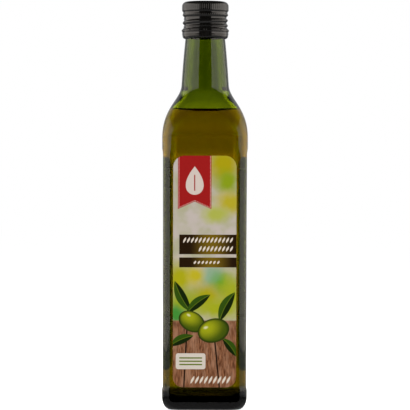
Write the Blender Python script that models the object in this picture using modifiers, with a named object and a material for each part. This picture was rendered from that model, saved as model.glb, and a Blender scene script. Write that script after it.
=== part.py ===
"""Square green glass bottle of olive oil with a roll-on screw cap and two paper labels.

The bottle stands on z = 0 with its axis on z and its front face towards -y. Sizes are metres.
"""
import math

import bmesh
import bpy

MM = 0.001
GAP = 0.3 * MM

# Bottle, outside. Widths are given as half widths across the flats.
HEEL_HALF = 28.4 * MM
PANEL_HALF = 27.93 * MM
PANEL_TOP_HALF = 28.13 * MM
PANEL_WAIST = 110.0 * MM
SHOULDER_HALF = 28.65 * MM
CORNER_RADIUS = 6.5 * MM
HEEL_RISE = 9.0 * MM
HEEL_RUN = 6.2 * MM
HEEL_CORNER_GROWTH = 1.5 * MM
BEARING_WIDTH = 2.8 * MM
PUSH_UP = 2.4 * MM
PANEL_STEP_FOOT = (13.3 * MM, 16.3 * MM)
PANEL_STEP_TOP = (170.8 * MM, 175.9 * MM)
SHOULDER_START = 182.3 * MM
SHOULDER_REACH = 20.7 * MM
NECK_FOOT = 217.8 * MM
NECK_FOOT_RADIUS = 16.0 * MM
NECK_FOOT_REACH = 9.1 * MM
NECK_FOOT_SLOPE = 0.068
ROUND_FROM = 214.4 * MM
NECK_TOP = 249.2 * MM
FINISH_RADIUS = 13.45 * MM
FINISH_SLOPE = 0.10
NECK_LOWER_REACH = 6.2 * MM
NECK_UPPER_REACH = 16.0 * MM
MOUTH = 272.9 * MM
LIP_ROUNDING = 0.8 * MM

# Bottle, inside
BODY_WALL = 2.2 * MM
SHOULDER_WALL = 2.5 * MM
NECK_WALL = 3.9 * MM
BORE_RADIUS = 9.6 * MM
INNER_CORNER_RADIUS = 7.5 * MM
FLOOR = 8.8 * MM
FLOOR_RISE = 1.2 * MM
FLOOR_ROUNDING = 8.0 * MM

# Oil
OIL_LEVEL = 200.9 * MM

# Cap
CAP_TOP = 274.6 * MM
CAP_RADIUS = 15.75 * MM
CAP_EDGE = 3.2 * MM
CAP_FOOT = 249.5 * MM
CAP_BORE = FINISH_RADIUS + 0.35 * MM
CAP_CEILING = MOUTH + GAP
GRIP_FOOT = 268.4 * MM
GRIP_GROOVE = 267.0 * MM
GRIP_GROOVE_RADIUS = 15.0 * MM
BEAD_HEIGHT = 265.4 * MM
BEAD_RADIUS = 15.35 * MM
ROOT_RADIUS = 14.45 * MM
ROOT_TOP = 263.4 * MM
ROOT_FOOT = 257.6 * MM
SKIRT_EDGE_RADIUS = 16.0 * MM
SLIT_HEIGHT = 255.15 * MM
SLIT_THICKNESS = 0.35 * MM
SLIT_COUNT = 8
BRIDGE_ANGLE = math.radians(6)
BAND_GROOVE_RADIUS = 15.5 * MM
BAND_RADIUS = 15.7 * MM
BAND_LOWER_RADIUS = 15.4 * MM
BAND_FOOT_RADIUS = 14.2 * MM
THREAD_TOP = 265.6 * MM
THREAD_PITCH = 3.6 * MM
THREAD_TURNS = 2.3
THREAD_WIRE = 1.1 * MM
THREAD_CREST = 15.25 * MM

# Labels
FRONT_LABEL_WIDTH = 42.2 * MM
BACK_LABEL_WIDTH = 44.4 * MM
LABEL_THICKNESS = 0.15 * MM
LABEL_TOP = 170.1 * MM
FRONT_LABEL_FOOT = 15.6 * MM
BACK_LABEL_FOOT = 24.4 * MM
LABEL_TOP_CORNER = 7.7 * MM
LABEL_FOOT_CORNER = 7.0 * MM

# Facets
CORNER_STEPS = 10
CAP_STEPS = 64
SHOULDER_STEPS = 14
NECK_STEPS = 6
HEEL_STEPS = 6
FLOOR_STEPS = 5
CURVE_STEPS = 5

COLLECTION = "olive_oil_bottle"


def remove_old_objects():
    for obj in list(bpy.data.objects):
        bpy.data.objects.remove(obj, do_unlink=True)


def add_collection(name):
    collection = bpy.data.collections.new(name)
    bpy.context.scene.collection.children.link(collection)
    return collection


def make_material(name, color, roughness, metallic=0.0, transmission=0.0, ior=1.5):
    material = bpy.data.materials.new(name)
    material.use_nodes = True
    shader = material.node_tree.nodes["Principled BSDF"]
    shader.inputs["Base Color"].default_value = (*color, 1.0)
    shader.inputs["Roughness"].default_value = roughness
    shader.inputs["Metallic"].default_value = metallic
    shader.inputs["Transmission Weight"].default_value = transmission
    shader.inputs["IOR"].default_value = ior
    return material


def ease(t):
    """Rise from 0 to 1 with a level start and end."""
    t = min(max(t, 0.0), 1.0)
    return 0.5 - 0.5 * math.cos(math.pi * t)


def bezier(start, start_handle, end_handle, end, steps):
    """Points of a cubic curve in (half width, height), without its start point."""
    points = []
    for step in range(1, steps + 1):
        t = step / steps
        weights = ((1 - t) ** 3, 3 * (1 - t) ** 2 * t, 3 * (1 - t) * t ** 2, t ** 3)
        corners = (start, start_handle, end_handle, end)
        points.append(tuple(sum(w * c[axis] for w, c in zip(weights, corners)) for axis in (0, 1)))
    return points


def corner_at(half, height, body_corner):
    """Plan corner radius: square with rounded corners below, turning into a circle at the neck."""
    squareness = body_corner / SHOULDER_HALF
    share = squareness + (1 - squareness) * ease((height - SHOULDER_START) / (ROUND_FROM - SHOULDER_START))
    return min(half, max(body_corner, half * share))


def ring_points(half, corner, height):
    """One level outline, counter-clockwise from above."""
    points = []
    for quarter in range(4):
        turn = quarter * math.pi / 2
        centre_x = (half - corner) * (math.cos(turn) - math.sin(turn))
        centre_y = (half - corner) * (math.sin(turn) + math.cos(turn))
        for step in range(CORNER_STEPS):
            angle = turn + (step + 0.5) * math.pi / 2 / CORNER_STEPS
            points.append((centre_x + corner * math.cos(angle), centre_y + corner * math.sin(angle), height))
    return points


def loft(name, stations, first_pole, last_pole):
    """Closed skin through level rings, with a middle point at each end."""
    work = bmesh.new()
    rings = [[work.verts.new(point) for point in ring_points(*station)] for station in stations]
    count = len(rings[0])
    start = work.verts.new((0.0, 0.0, first_pole))
    finish = work.verts.new((0.0, 0.0, last_pole))
    for i in range(count):
        j = (i + 1) % count
        work.faces.new((start, rings[0][j], rings[0][i]))
        for low, high in zip(rings, rings[1:]):
            work.faces.new((low[i], low[j], high[j], high[i]))
        work.faces.new((rings[-1][i], rings[-1][j], finish))
    mesh = bpy.data.meshes.new(name)
    work.to_mesh(mesh)
    work.free()
    mesh.shade_smooth()
    return mesh


def base_stations():
    """Push-up, flat bearing face and rounded heel."""
    bearing = HEEL_HALF - HEEL_RUN
    hollow = bearing - BEARING_WIDTH
    stations = []
    for share in (0.3, 0.65, 0.88):
        half = hollow * share
        stations.append((half, half * (1.0 - 0.6 * share), PUSH_UP * (1 - ease(share))))
    stations.append((hollow, CORNER_RADIUS, 0.0))
    for step in range(HEEL_STEPS + 1):
        angle = step / HEEL_STEPS * math.pi / 2
        half = bearing + HEEL_RUN * math.sin(angle)
        corner = CORNER_RADIUS + HEEL_CORNER_GROWTH * math.cos(angle)
        stations.append((half, corner, HEEL_RISE * (1 - math.cos(angle))))
    return stations


def step_stations(span, low_half, high_half):
    """Small eased step between the label panel and the glass above or below it."""
    stations = []
    for share in (0.0, 0.25, 0.5, 0.75, 1.0):
        height = span[0] + (span[1] - span[0]) * share
        stations.append((low_half + (high_half - low_half) * ease(share), CORNER_RADIUS, height))
    return stations


def shoulder_curve(half, neck_radius, wall_drop):
    """Silhouette from the body up to the foot of the neck."""
    start = (half, SHOULDER_START - wall_drop)
    neck = (neck_radius, NECK_FOOT - wall_drop)
    start_handle = (start[0], start[1] + SHOULDER_REACH)
    end_handle = (neck[0] + NECK_FOOT_SLOPE * NECK_FOOT_REACH, neck[1] - NECK_FOOT_REACH)
    return [start] + bezier(start, start_handle, end_handle, neck, SHOULDER_STEPS)


def neck_curve(foot_radius, foot_height, top_radius):
    """Silhouette of the tapering neck, from its foot to the cap."""
    foot = (foot_radius, foot_height)
    top = (top_radius, NECK_TOP)
    foot_handle = (foot_radius - NECK_FOOT_SLOPE * NECK_LOWER_REACH, foot_height + NECK_LOWER_REACH)
    top_handle = (top_radius + FINISH_SLOPE * NECK_UPPER_REACH, NECK_TOP - NECK_UPPER_REACH)
    return bezier(foot, foot_handle, top_handle, top, NECK_STEPS)


def with_corners(curve, body_corner):
    return [(half, corner_at(half, height, body_corner), height) for half, height in curve]


def outside_stations():
    stations = base_stations()
    stations += step_stations(PANEL_STEP_FOOT, HEEL_HALF, PANEL_HALF)
    stations.append((PANEL_HALF, CORNER_RADIUS, PANEL_WAIST))
    stations += step_stations(PANEL_STEP_TOP, PANEL_TOP_HALF, SHOULDER_HALF)
    stations += with_corners(shoulder_curve(SHOULDER_HALF, NECK_FOOT_RADIUS, 0.0), CORNER_RADIUS)
    stations += with_corners(neck_curve(NECK_FOOT_RADIUS, NECK_FOOT, FINISH_RADIUS), CORNER_RADIUS)
    for share in (0.0, 0.5, 1.0):
        angle = share * math.pi / 2
        radius = FINISH_RADIUS - LIP_ROUNDING * (1 - math.cos(angle))
        stations.append((radius, radius, MOUTH - LIP_ROUNDING * (1 - math.sin(angle))))
    return stations


def inside_stations(inset):
    """Inner wall from the floor to the neck, moved inwards by inset."""
    half = PANEL_HALF - BODY_WALL
    rounding = FLOOR_ROUNDING
    curve = []
    for step in range(FLOOR_STEPS + 1):
        angle = step / FLOOR_STEPS * math.pi / 2
        curve.append((half - rounding * (1 - math.sin(angle)), FLOOR + rounding * (1 - math.cos(angle))))
    neck_radius = NECK_FOOT_RADIUS - NECK_WALL
    curve += shoulder_curve(SHOULDER_HALF - SHOULDER_WALL, neck_radius, 0.5 * BODY_WALL)
    curve += neck_curve(neck_radius, NECK_FOOT - 0.5 * BODY_WALL, BORE_RADIUS)
    stations = []
    for station_half, corner, height in with_corners(curve, INNER_CORNER_RADIUS):
        lift = inset if height < FLOOR + rounding else 0.0
        stations.append((station_half - inset, corner - 0.5 * inset, height + lift))
    return stations


def add_object(collection, name, mesh, material):
    obj = bpy.data.objects.new(name, mesh)
    collection.objects.link(obj)
    obj.data.materials.append(material)
    return obj


def add_bottle(collection):
    bore_top = (BORE_RADIUS, BORE_RADIUS, MOUTH - LIP_ROUNDING)
    lip = (BORE_RADIUS + LIP_ROUNDING, BORE_RADIUS + LIP_ROUNDING, MOUTH)
    inside = [lip, bore_top] + inside_stations(0.0)[::-1]
    mesh = loft("bottle", outside_stations() + inside, PUSH_UP, FLOOR + FLOOR_RISE)
    glass = make_material("green_glass", (0.13, 0.17, 0.01), 0.03, transmission=1.0, ior=1.52)
    return add_object(collection, "bottle", mesh, glass)


def cut_at(stations, level):
    """Stations below a level, closed by one exactly at it."""
    kept = [station for station in stations if station[2] < level]
    low = kept[-1]
    high = stations[len(kept)]
    share = (level - low[2]) / (high[2] - low[2])
    return kept + [tuple(a + (b - a) * share for a, b in zip(low, high))]


def add_oil(collection):
    stations = cut_at(inside_stations(GAP), OIL_LEVEL)
    mesh = loft("oil", stations, FLOOR + FLOOR_RISE + GAP, OIL_LEVEL)
    mesh.set_sharp_from_angle(angle=math.radians(40))
    oil = make_material("olive_oil", (0.42, 0.30, 0.01), 0.02, transmission=1.0, ior=1.47)
    return add_object(collection, "oil", mesh, oil)


def cap_profile():
    """Outer side of the cap from the middle of its top to the middle of its foot."""
    points = [(0.0, CAP_TOP)]
    for step in range(5):
        angle = math.pi / 2 * (1 - step / 4)
        inset = CAP_EDGE * (1 - math.cos(angle))
        points.append((CAP_RADIUS - inset, CAP_TOP - CAP_EDGE * (1 - math.sin(angle))))
    points += [
        (CAP_RADIUS, GRIP_FOOT),
        (GRIP_GROOVE_RADIUS, GRIP_GROOVE),
        (BEAD_RADIUS, BEAD_HEIGHT),
        (ROOT_RADIUS, ROOT_TOP),
        (ROOT_RADIUS, ROOT_FOOT),
    ]
    rise = SKIRT_EDGE_RADIUS - ROOT_RADIUS
    drop = ROOT_FOOT - SLIT_HEIGHT
    for share in (0.35, 0.65, 0.9):
        points.append((ROOT_RADIUS + rise * ease(share), ROOT_FOOT - drop * share))
    band = SLIT_HEIGHT - CAP_FOOT
    points += [
        (SKIRT_EDGE_RADIUS, SLIT_HEIGHT - 0.08 * band),
        (BAND_GROOVE_RADIUS, SLIT_HEIGHT - 0.25 * band),
        (BAND_RADIUS, SLIT_HEIGHT - 0.38 * band),
        (BAND_LOWER_RADIUS, SLIT_HEIGHT - 0.75 * band),
        (0.5 * (BAND_LOWER_RADIUS + BAND_FOOT_RADIUS), SLIT_HEIGHT - 0.93 * band),
        (BAND_FOOT_RADIUS, CAP_FOOT),
        (0.0, CAP_FOOT),
    ]
    return points


def turned(name, profile, collection):
    mesh = bpy.data.meshes.new(name)
    vertices = [(radius, 0.0, height) for radius, height in profile]
    edges = [(i, i + 1) for i in range(len(profile) - 1)]
    mesh.from_pydata(vertices, edges, [])
    obj = bpy.data.objects.new(name, mesh)
    collection.objects.link(obj)
    screw = obj.modifiers.new("turn", "SCREW")
    screw.steps = CAP_STEPS
    screw.render_steps = CAP_STEPS
    screw.use_merge_vertices = True
    screw.merge_threshold = 0.00001
    screw.use_smooth_shade = True
    return obj


def add_thread(collection):
    """Rolled thread of the cap as a wire wound clockwise on its way down."""
    steps = round(28 * THREAD_TURNS)
    curve = bpy.data.curves.new("cap_thread", "CURVE")
    curve.dimensions = "3D"
    curve.bevel_depth = THREAD_WIRE
    curve.bevel_resolution = 2
    curve.use_fill_caps = True
    spline = curve.splines.new("POLY")
    spline.points.add(steps)
    radius = THREAD_CREST - THREAD_WIRE
    for step in range(steps + 1):
        turn = -2 * math.pi * THREAD_TURNS * step / steps
        height = THREAD_TOP + THREAD_PITCH * turn / (2 * math.pi)
        spline.points[step].co = (radius * math.cos(turn), radius * math.sin(turn), height, 1.0)
    wire = bpy.data.objects.new("cap_thread_curve", curve)
    collection.objects.link(wire)
    bpy.context.view_layer.update()
    mesh = bpy.data.meshes.new_from_object(wire.evaluated_get(bpy.context.evaluated_depsgraph_get()))
    bpy.data.objects.remove(wire, do_unlink=True)
    work = bmesh.new()
    work.from_mesh(mesh)
    bmesh.ops.remove_doubles(work, verts=work.verts, dist=0.00001)
    bmesh.ops.recalc_face_normals(work, faces=work.faces)
    work.to_mesh(mesh)
    work.free()
    obj = bpy.data.objects.new("cap_thread", mesh)
    collection.objects.link(obj)
    return obj


def add_cap_hollow(collection):
    depth = CAP_CEILING - CAP_FOOT + 4 * MM
    bpy.ops.mesh.primitive_cylinder_add(
        vertices=CAP_STEPS, radius=CAP_BORE, depth=depth, location=(0.0, 0.0, CAP_CEILING - depth / 2))
    obj = bpy.context.object
    obj.name = "cap_hollow"
    for owner in list(obj.users_collection):
        owner.objects.unlink(obj)
    collection.objects.link(obj)
    return obj


def add_slits(collection):
    """Tear line of the tamper band: arcs that leave a bridge between each two."""
    work = bmesh.new()
    low = SLIT_HEIGHT - SLIT_THICKNESS / 2
    high = SLIT_HEIGHT + SLIT_THICKNESS / 2
    inner = CAP_BORE - 1 * MM
    outer = SKIRT_EDGE_RADIUS + 1 * MM
    arc = 2 * math.pi / SLIT_COUNT - BRIDGE_ANGLE
    steps = 5
    for slit in range(SLIT_COUNT):
        start = 2 * math.pi * slit / SLIT_COUNT
        corners = []
        for radius, height in ((inner, low), (outer, low), (outer, high), (inner, high)):
            corners.append(work.verts.new((radius * math.cos(start), radius * math.sin(start), height)))
        face = work.faces.new(corners)
        bmesh.ops.spin(
            work, geom=[face], axis=(0.0, 0.0, 1.0), cent=(0.0, 0.0, 0.0), angle=arc, steps=steps)
    bmesh.ops.recalc_face_normals(work, faces=work.faces)
    mesh = bpy.data.meshes.new("cap_slits")
    work.to_mesh(mesh)
    work.free()
    obj = bpy.data.objects.new("cap_slits", mesh)
    collection.objects.link(obj)
    return obj


def add_boolean(obj, cutter, operation):
    modifier = obj.modifiers.new(cutter.name, "BOOLEAN")
    modifier.operation = operation
    modifier.object = cutter
    cutter.hide_render = True
    cutter.display_type = "WIRE"


def add_cap(collection, cutters):
    cap = turned("cap", cap_profile(), collection)
    cap.data.materials.append(make_material("black_lacquer", (0.012, 0.011, 0.010), 0.32, metallic=0.3))
    add_boolean(cap, add_thread(cutters), "UNION")
    add_boolean(cap, add_cap_hollow(cutters), "DIFFERENCE")
    add_boolean(cap, add_slits(cutters), "DIFFERENCE")
    return cap


def add_label(collection, name, width, foot, side, material):
    """Rounded paper rectangle standing upright; side is -1 for the front and 1 for the back."""
    curve = bpy.data.curves.new(name, "CURVE")
    curve.dimensions = "2D"
    curve.fill_mode = "BOTH"
    curve.extrude = LABEL_THICKNESS / 2
    right = width / 2
    centres = (
        (right - LABEL_FOOT_CORNER, foot + LABEL_FOOT_CORNER, LABEL_FOOT_CORNER),
        (right - LABEL_TOP_CORNER, LABEL_TOP - LABEL_TOP_CORNER, LABEL_TOP_CORNER),
        (LABEL_TOP_CORNER - right, LABEL_TOP - LABEL_TOP_CORNER, LABEL_TOP_CORNER),
        (LABEL_FOOT_CORNER - right, foot + LABEL_FOOT_CORNER, LABEL_FOOT_CORNER),
    )
    outline = []
    for quarter, (centre_x, centre_z, radius) in enumerate(centres):
        for step in range(CURVE_STEPS + 1):
            angle = math.pi / 2 * (quarter - 1 + step / CURVE_STEPS)
            outline.append((centre_x + radius * math.cos(angle), centre_z + radius * math.sin(angle)))
    spline = curve.splines.new("POLY")
    spline.points.add(len(outline) - 1)
    spline.use_cyclic_u = True
    for point, (x, z) in zip(spline.points, outline):
        point.co = (x, z, 0.0, 1.0)
    label = add_object(collection, name, curve, material)
    label.rotation_euler = (math.pi / 2, 0.0, 0.0)
    label.location = (0.0, side * (PANEL_TOP_HALF + GAP + LABEL_THICKNESS / 2), 0.0)
    return label


def main():
    remove_old_objects()
    collection = add_collection(COLLECTION)
    cutters = add_collection("cutters")
    add_bottle(collection)
    add_oil(collection)
    add_cap(collection, cutters)
    front = make_material("front_paper", (0.52, 0.47, 0.36), 0.45)
    back = make_material("back_paper", (0.50, 0.46, 0.38), 0.5)
    add_label(collection, "front_label", FRONT_LABEL_WIDTH, FRONT_LABEL_FOOT, -1, front)
    add_label(collection, "back_label", BACK_LABEL_WIDTH, BACK_LABEL_FOOT, 1, back)


main()
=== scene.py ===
"""Looks of a square green glass bottle of olive oil: glass, oil, roll-on cap and labels."""
import math

import bmesh
import bpy
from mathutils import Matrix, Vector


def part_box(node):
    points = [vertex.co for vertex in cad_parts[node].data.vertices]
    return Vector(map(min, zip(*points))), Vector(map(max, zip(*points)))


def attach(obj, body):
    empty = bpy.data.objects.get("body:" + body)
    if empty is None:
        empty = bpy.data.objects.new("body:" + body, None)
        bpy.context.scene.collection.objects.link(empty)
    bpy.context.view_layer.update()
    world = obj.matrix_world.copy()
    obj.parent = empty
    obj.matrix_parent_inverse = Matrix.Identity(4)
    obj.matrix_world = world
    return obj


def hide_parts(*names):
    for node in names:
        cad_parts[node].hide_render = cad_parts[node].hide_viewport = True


bl_info = {
    "name": "Olive Oil Bottle",
    "version": (1, 0, 0),
    "blender": (4, 5, 0),
    "location": "View3D > Sidebar > Bottle",
    "description": "Builds a square green glass bottle of olive oil with its cap and labels",
    "category": "Add Mesh",
}

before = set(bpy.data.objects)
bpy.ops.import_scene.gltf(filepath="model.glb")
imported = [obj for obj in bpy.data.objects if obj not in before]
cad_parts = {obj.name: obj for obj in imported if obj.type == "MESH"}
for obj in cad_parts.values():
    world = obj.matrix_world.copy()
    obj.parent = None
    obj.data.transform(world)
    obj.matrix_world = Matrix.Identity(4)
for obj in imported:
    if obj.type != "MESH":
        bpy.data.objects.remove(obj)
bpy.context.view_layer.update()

MM = 0.001
BODY = "root"

# Heights and widths that the frame gives
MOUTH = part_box("bottle")[1][2]
CAP_FOOT, CAP_TOP = (corner[2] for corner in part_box("cap"))
OIL_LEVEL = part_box("oil")[1][2]
FRONT_LOW, FRONT_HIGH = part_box("front_label")
BACK_LOW, BACK_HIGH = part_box("back_label")

# Bottle, outside
SHOULDER_HALF = 28.65 * MM
HEEL_HALF = 28.4 * MM
PANEL_HALF = 27.93 * MM
PANEL_TOP_HALF = 28.13 * MM
PANEL_WAIST = 110.0 * MM
HEEL_RISE = 9.0 * MM
HEEL_RUN = 6.2 * MM
HEEL_CORNER_GROWTH = 1.5 * MM
SHOULDER_CORNER_GROWTH = 2.0 * MM
BEARING_WIDTH = 2.8 * MM
PANEL_STEP_FOOT = (13.3 * MM, 16.3 * MM)
PANEL_STEP_TOP = (170.8 * MM, 175.9 * MM)
SHOULDER_START = 182.3 * MM
SHOULDER_REACH = 20.7 * MM
NECK_FOOT = 217.8 * MM
NECK_FOOT_RADIUS = 16.0 * MM
NECK_FOOT_REACH = 9.1 * MM
NECK_FOOT_SLOPE = 0.068
ROUND_FROM = 214.4 * MM
NECK_TOP = 249.2 * MM
FINISH_RADIUS = 13.45 * MM
FINISH_SLOPE = 0.10
NECK_LOWER_REACH = 6.2 * MM
NECK_UPPER_REACH = 16.0 * MM
LIP_ROUNDING = 0.8 * MM
ROOT_RADIUS = 16.8 * MM
ROOT_HEIGHT = 212.6 * MM

# Bottle, inside
FLOOR_RISE = 1.2 * MM
FLOOR_ROUNDING = 8.0 * MM
INNER_CORNER_RADIUS = 6.0 * MM
BORE_RADIUS = 9.6 * MM

# Handles of the inner wall's curves, as steps outwards and up from the point they belong to
BELOW_ROOT = (2.6 * MM, -6.5 * MM)
ABOVE_ROOT = (-0.8 * MM, 2.0 * MM)
BELOW_NECK = (0.3 * MM, -2.2 * MM)
ABOVE_NECK = (-0.6 * MM, 6.0 * MM)
BELOW_TOP = (0.8 * MM, -10.0 * MM)

# Facets of the glass: angles over one face of the square, from one corner's middle to the next
FLAT_ANGLE = math.radians(2.0)
FLAT_STEPS = 8
CORNER_STEPS = 11
SHOULDER_STEPS = 44
NECK_STEPS = 24
ARC_STEPS = 14

WHITE = (1.0, 1.0, 1.0, 1.0)


class GlassSettings(bpy.types.PropertyGroup):
    """Sizes and colour of the green glass."""

    corner_radius: bpy.props.FloatProperty(
        name="Corner Radius", description="Radius of the body's upright corners",
        default=6.5 * MM, min=1.0 * MM, subtype="DISTANCE")
    push_up: bpy.props.FloatProperty(
        name="Push-up", description="Height of the dome pressed into the base",
        default=2.4 * MM, min=0.0, subtype="DISTANCE")
    floor: bpy.props.FloatProperty(
        name="Floor", description="Height of the inside floor at its edge",
        default=8.8 * MM, min=2.0 * MM, subtype="DISTANCE")
    body_wall: bpy.props.FloatProperty(
        name="Body Wall", description="Thickness of the body's walls",
        default=2.2 * MM, min=0.5 * MM, subtype="DISTANCE")
    shoulder_wall: bpy.props.FloatProperty(
        name="Shoulder Wall", description="Level thickness of the glass in the shoulder",
        default=2.5 * MM, min=0.5 * MM, subtype="DISTANCE")
    neck_wall: bpy.props.FloatProperty(
        name="Neck Wall", description="Thickness of the glass at the foot of the neck",
        default=3.9 * MM, min=0.5 * MM, subtype="DISTANCE")
    root_wall: bpy.props.FloatProperty(
        name="Root Wall", description="Thickness of the glass where the shoulder meets the neck",
        default=2.5 * MM, min=0.5 * MM, subtype="DISTANCE")
    tint: bpy.props.FloatVectorProperty(
        name="Tint", description="Share of light that the glass lets through, by colour",
        default=(0.696, 0.736, 0.0), min=0.0, max=1.0, subtype="COLOR")
    density: bpy.props.FloatProperty(
        name="Density", description="How fast the glass takes up light, for each metre",
        default=1500.0, min=0.0)


class OilSettings(bpy.types.PropertyGroup):
    """Fill and colour of the oil."""

    reach: bpy.props.FloatProperty(
        name="Reach", description="How far the oil's skin lies inside the wall, so that no air gap shows",
        default=0.15 * MM, min=0.0, subtype="DISTANCE")
    meniscus: bpy.props.FloatProperty(
        name="Meniscus", description="How far the oil climbs up the wall",
        default=2.6 * MM, min=0.0, subtype="DISTANCE")
    sink: bpy.props.FloatProperty(
        name="Sink", description="How far the surface's flat middle lies under the level at the wall",
        default=2.1 * MM, min=0.0, subtype="DISTANCE")
    tint: bpy.props.FloatVectorProperty(
        name="Tint", description="Share of light that the oil lets through, by colour",
        default=(0.98, 0.84, 0.0), min=0.0, max=1.0, subtype="COLOR")
    density: bpy.props.FloatProperty(
        name="Density", description="How fast the oil takes up light, for each metre",
        default=120.0, min=0.0)


class CapSettings(bpy.types.PropertyGroup):
    """Relief and lacquer of the roll-on cap."""

    rib_count: bpy.props.IntProperty(
        name="Grip Ribs", description="Number of ribs round the grip band", default=64, min=12)
    rib_depth: bpy.props.FloatProperty(
        name="Rib Depth", description="Depth of the grooves between the ribs",
        default=0.12 * MM, min=0.0, subtype="DISTANCE")
    thread_pitch: bpy.props.FloatProperty(
        name="Thread Pitch", description="Rise of the rolled thread in one turn",
        default=3.6 * MM, min=1.0 * MM, subtype="DISTANCE")
    thread_height: bpy.props.FloatProperty(
        name="Thread Height", description="Height of the rolled thread over its root",
        default=1.0 * MM, min=0.0, subtype="DISTANCE")
    bridge_count: bpy.props.IntProperty(
        name="Bridges", description="Number of bridges across the tear line", default=8, min=2)
    lacquer: bpy.props.FloatVectorProperty(
        name="Lacquer", description="Colour of the lacquer",
        default=(0.004, 0.0037, 0.0033), min=0.0, max=1.0, subtype="COLOR")


class LabelSettings(bpy.types.PropertyGroup):
    """Paper and print of the labels."""

    thickness: bpy.props.FloatProperty(
        name="Thickness", description="Thickness of the paper",
        default=0.12 * MM, min=0.02 * MM, subtype="DISTANCE")
    top_corner: bpy.props.FloatProperty(
        name="Top Corner", description="Radius of the upper corners",
        default=7.7 * MM, min=0.0, subtype="DISTANCE")
    foot_corner: bpy.props.FloatProperty(
        name="Foot Corner", description="Radius of the lower corners",
        default=7.0 * MM, min=0.0, subtype="DISTANCE")
    paper: bpy.props.FloatVectorProperty(
        name="Paper", description="Colour of the bare paper",
        default=(0.78, 0.72, 0.64), min=0.0, max=1.0, subtype="COLOR")


class StudioSettings(bpy.types.PropertyGroup):
    """Camera and light."""

    camera_distance: bpy.props.FloatProperty(
        name="Camera Distance", description="From the camera to the bottle's axis",
        default=2.0, min=0.5, subtype="DISTANCE")
    camera_height: bpy.props.FloatProperty(
        name="Camera Height", description="Height of the level camera over the floor",
        default=137.2 * MM, min=0.0, subtype="DISTANCE")
    frame_width: bpy.props.FloatProperty(
        name="Frame Width", description="Width of the picture at the bottle's axis",
        default=277.25 * MM, min=0.1, subtype="DISTANCE")
    camera_aside: bpy.props.FloatProperty(
        name="Camera Aside", description="How far the camera stands to the right of the bottle's axis",
        default=0.1 * MM, subtype="DISTANCE")
    camera_roll: bpy.props.FloatProperty(
        name="Camera Roll", description="Turn of the camera about its line of sight",
        default=math.radians(0.15), subtype="ANGLE")
    softbox_colour: bpy.props.FloatVectorProperty(
        name="Softbox Colour", description="Colour of the two side softboxes",
        default=(1.0, 0.9, 0.79), min=0.0, max=1.0, subtype="COLOR")
    softbox_level: bpy.props.FloatProperty(
        name="Softbox Level", description="Brightness of the two side softboxes, with the backdrop as 1",
        default=0.92, min=0.0)
    top_level: bpy.props.FloatProperty(
        name="Top Light Level", description="Brightness of the light overhead, with the backdrop as 1",
        default=1.0, min=0.0)
    side_gain: bpy.props.FloatProperty(
        name="Side Gain", description="How much brighter the backdrop is towards its sides",
        default=4.4, min=0.0)
    side_colour: bpy.props.FloatVectorProperty(
        name="Side Colour", description="Colour of the backdrop towards its sides",
        default=(1.0, 0.86, 0.62), min=0.0, max=1.0, subtype="COLOR")
    fill_level: bpy.props.FloatProperty(
        name="Fill Level", description="Brightness of the soft light from all round on dull surfaces",
        default=0.25, min=0.0)
    floor_glow: bpy.props.FloatProperty(
        name="Floor Glow", description="Light that comes up through the table top",
        default=0.8, min=0.0)
    floor_behind: bpy.props.FloatProperty(
        name="Floor Behind Glass", description="Glow of the table top straight behind the glass",
        default=0.25, min=0.0)
    floor_gain: bpy.props.FloatProperty(
        name="Floor Gain", description="How much brighter the table top behind the glass is at its corners",
        default=6.0, min=0.0)


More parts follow.
